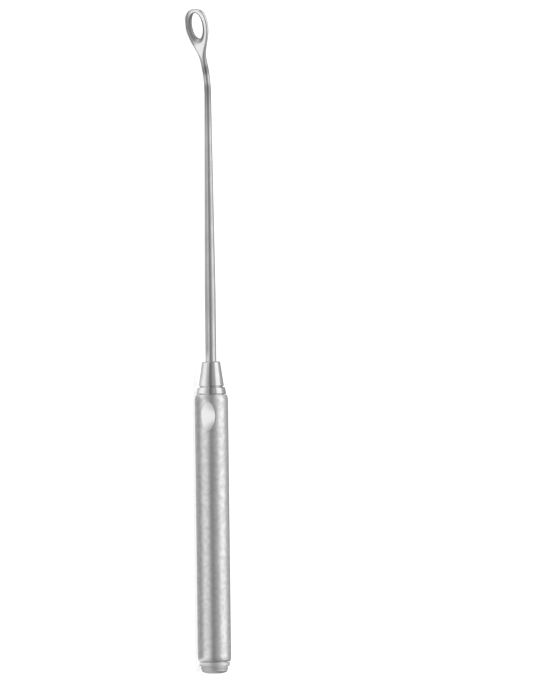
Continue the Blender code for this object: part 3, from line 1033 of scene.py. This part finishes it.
def studioWindows():
    # where along the instrument each set of strips lies, from none to full
    fade = studio["stripFade"]
    capFront = tubeLow.y / mm
    bandStart = capFront - studio["bandReach"]
    bandFade = studio["bandFade"]
    ferruleStart = tubeHigh.y / mm
    ferruleEnd = ferruleHigh.y / mm + 2.0 * fade
    ringStart = cadBox[1].y / mm - studio["ringReach"]
    ovalMiddle = ferruleStart - oval["fromFront"]
    ovalHalf = oval["length"] / 2.0
    return {
        "endStrips": ((bandStart, 1.0), (bandStart + bandFade, 0.0)),
        "capStrips": (
            (bandStart, 0.0), (bandStart + bandFade, 1.0), (capFront, 1.0), (capFront + fade / 2.0, 0.0),
        ),
        "ovalStrips": (
            (ovalMiddle - ovalHalf - fade, 0.0),
            (ovalMiddle - ovalHalf, 1.0),
            (ovalMiddle + ovalHalf, 1.0),
            (ovalMiddle + ovalHalf + fade, 0.0),
        ),
        "ferruleStrips": (
            (ferruleStart, 0.0), (ferruleStart + fade, 1.0), (ferruleEnd - fade, 1.0), (ferruleEnd, 0.0),
        ),
        "ringStrips": ((ringStart, 0.0), (ringStart + 2.0 * fade, 1.0)),
    }


def makeFloor():
    # pale for the camera, with the object's shadow; the glowing strips and the darker floor only show in
    # the metal, as painted reflections and painted shade
    half = studio["floorSize"] / 2.0
    mesh = bpy.data.meshes.new("studioFloor")
    corners = [(-half, -half), (half, -half), (half, half), (-half, half)]
    mesh.from_pydata([(x, y, floorHeight) for x, y in corners], [], [(0, 1, 2, 3)])
    floor = bpy.data.objects.new("studioFloor", mesh)
    bpy.context.scene.collection.objects.link(floor)
    made = bpy.data.materials.new("paleFloor")
    made.use_nodes = True
    tree = made.node_tree
    shader = tree.nodes["Principled BSDF"]
    shader.inputs["Roughness"].default_value = studio["floorRoughness"]
    shader.inputs["Specular IOR Level"].default_value = 0.0
    rays = tree.nodes.new("ShaderNodeLightPath")
    place = tree.nodes.new("ShaderNodeTexCoord")
    apart = tree.nodes.new("ShaderNodeSeparateXYZ")
    distance = tree.nodes.new("ShaderNodeMath")
    distance.operation = "ABSOLUTE"
    aside = tree.nodes.new("ShaderNodeMath")
    aside.operation = "DIVIDE"
    aside.inputs[1].default_value = studio["stripReach"] * mm
    wire(tree, place, "Object", apart, 0)
    wire(tree, apart, "X", distance, 0)
    wire(tree, distance, 0, aside, 0)
    along = tree.nodes.new("ShaderNodeMath")
    along.operation = "DIVIDE"
    along.inputs[1].default_value = cadBox[1].y
    wire(tree, apart, "Y", along, 0)
    light = stripRamp(tree, aside, "handleStrips")
    lightOutput = "Color"
    for name, window in studioWindows().items():
        beside = greyRamp(tree, [(y * mm / cadBox[1].y, grey) for y, grey in window])
        wire(tree, along, 0, beside, 0)
        choice = tree.nodes.new("ShaderNodeMix")
        choice.data_type = "RGBA"
        wire(tree, beside, "Color", choice, "Factor")
        wire(tree, light, lightOutput, choice, "A")
        wire(tree, stripRamp(tree, aside, name), "Color", choice, "B")
        light = choice
        lightOutput = "Result"
    glow = tree.nodes.new("ShaderNodeMath")
    glow.operation = "MULTIPLY"
    wire(tree, light, lightOutput, glow, 0)
    wire(tree, rays, "Is Glossy Ray", glow, 1)
    for ray in ("Is Camera Ray", "Is Transmission Ray"):
        more = tree.nodes.new("ShaderNodeMath")
        more.operation = "MULTIPLY_ADD"
        more.inputs[1].default_value = studio["floorGlow"]
        wire(tree, rays, ray, more, 0)
        wire(tree, glow, 0, more, 2)
        glow = more
    colour = studio["floorColour"]
    tone = tree.nodes.new("ShaderNodeMix")
    tone.data_type = "RGBA"
    tone.inputs["A"].default_value = colour + (1.0,)
    tone.inputs["B"].default_value = tuple(c * studio["mirroredShade"] for c in colour) + (1.0,)
    wire(tree, rays, "Is Glossy Ray", tone, "Factor")
    wire(tree, tone, "Result", shader, "Base Color")
    shader.inputs["Emission Color"].default_value = (1.0, 1.0, 1.0, 1.0)
    wire(tree, glow, 0, shader, "Emission Strength")
    mesh.materials.append(made)


def makeSky():
    # darker towards the horizon and the end cap's side, brighter opposite the camera and endwise
    world = bpy.data.worlds.new("studioSky")
    bpy.context.scene.world = world
    world.use_nodes = True
    tree = world.node_tree
    background = tree.nodes["Background"]
    direction = tree.nodes.new("ShaderNodeTexCoord")
    apart = tree.nodes.new("ShaderNodeSeparateXYZ")
    height = greyRamp(tree, studio["skyByHeight"])
    side = tree.nodes.new("ShaderNodeMapRange")
    side.inputs["From Min"].default_value = studio["endCapSide"]
    side.inputs["From Max"].default_value = 0.0
    side.inputs["To Min"].default_value = studio["skyAtEndCap"]
    side.inputs["To Max"].default_value = studio["skyElsewhere"]
    farSide = greyRamp(tree, studio["skyOnFarSide"])
    alongHandle = greyRamp(tree, studio["skyAlongHandle"])
    endwise = tree.nodes.new("ShaderNodeMath")
    endwise.operation = "ABSOLUTE"
    wire(tree, direction, "Generated", apart, 0)
    wire(tree, apart, "Z", height, 0)
    wire(tree, apart, "X", farSide, 0)
    wire(tree, apart, "Y", endwise, 0)
    wire(tree, endwise, 0, alongHandle, 0)
    sky = height
    for part in (farSide, alongHandle):
        brighter = tree.nodes.new("ShaderNodeMath")
        brighter.operation = "MAXIMUM"
        wire(tree, sky, 0, brighter, 0)
        wire(tree, part, 0, brighter, 1)
        sky = brighter
    wire(tree, sky, 0, background, "Color")
    wire(tree, apart, "Y", side, "Value")
    wire(tree, side, "Result", background, "Strength")


def makeSoftbox():
    light = bpy.data.lights.new("overheadSoftbox", "AREA")
    light.shape = "RECTANGLE"
    light.size = studio["softboxWidth"]
    light.size_y = studio["softboxLength"]
    light.energy = studio["softboxPower"]
    lamp = bpy.data.objects.new("overheadSoftbox", light)
    aside = studio["softboxTowardsFront"]
    along = (cadBox[0].y + cadBox[1].y) / 2.0 + studio["softboxAhead"]
    lamp.location = (-aside, along, studio["softboxHeight"])
    lamp.rotation_euler = (0.0, atan2(aside, studio["softboxHeight"]), 0.0)
    lamp.visible_camera = False
    bpy.context.scene.collection.objects.link(lamp)


view = {
    "distance": 4.0,
    "frameHeight": 0.2176,
    "right": 20.325 * mm,
    "along": 104.0 * mm,
    "roll": radians(0.69),
    "fromBlade": radians(24.0),
    "sensor": 36.0,
}


def makeCamera():
    # it sees the ring's front at an angle from the low front side, with the handle's length upright
    turn = bladeTurn - view["fromBlade"]
    back = Vector((-sin(turn), 0.0, cos(turn)))
    across = Vector((cos(turn), 0.0, sin(turn)))
    along = Vector((0.0, 1.0, 0.0))
    right = across * cos(view["roll"]) - along * sin(view["roll"])
    up = across * sin(view["roll"]) + along * cos(view["roll"])
    camera = bpy.data.cameras.new("camera")
    camera.sensor_width = view["sensor"]
    camera.lens = view["sensor"] * view["distance"] / view["frameHeight"]
    holder = bpy.data.objects.new("camera", camera)
    spot = across * view["right"] + along * view["along"] + back * view["distance"]
    holder.matrix_world = Matrix.Translation(spot) @ Matrix((right, up, back)).transposed().to_4x4()
    bpy.context.scene.collection.objects.link(holder)
    bpy.context.scene.camera = holder


makeFloor()
makeSky()
makeSoftbox()
makeCamera()
bpy.context.scene.view_settings.view_transform = "Standard"
print("floor, light and camera made")
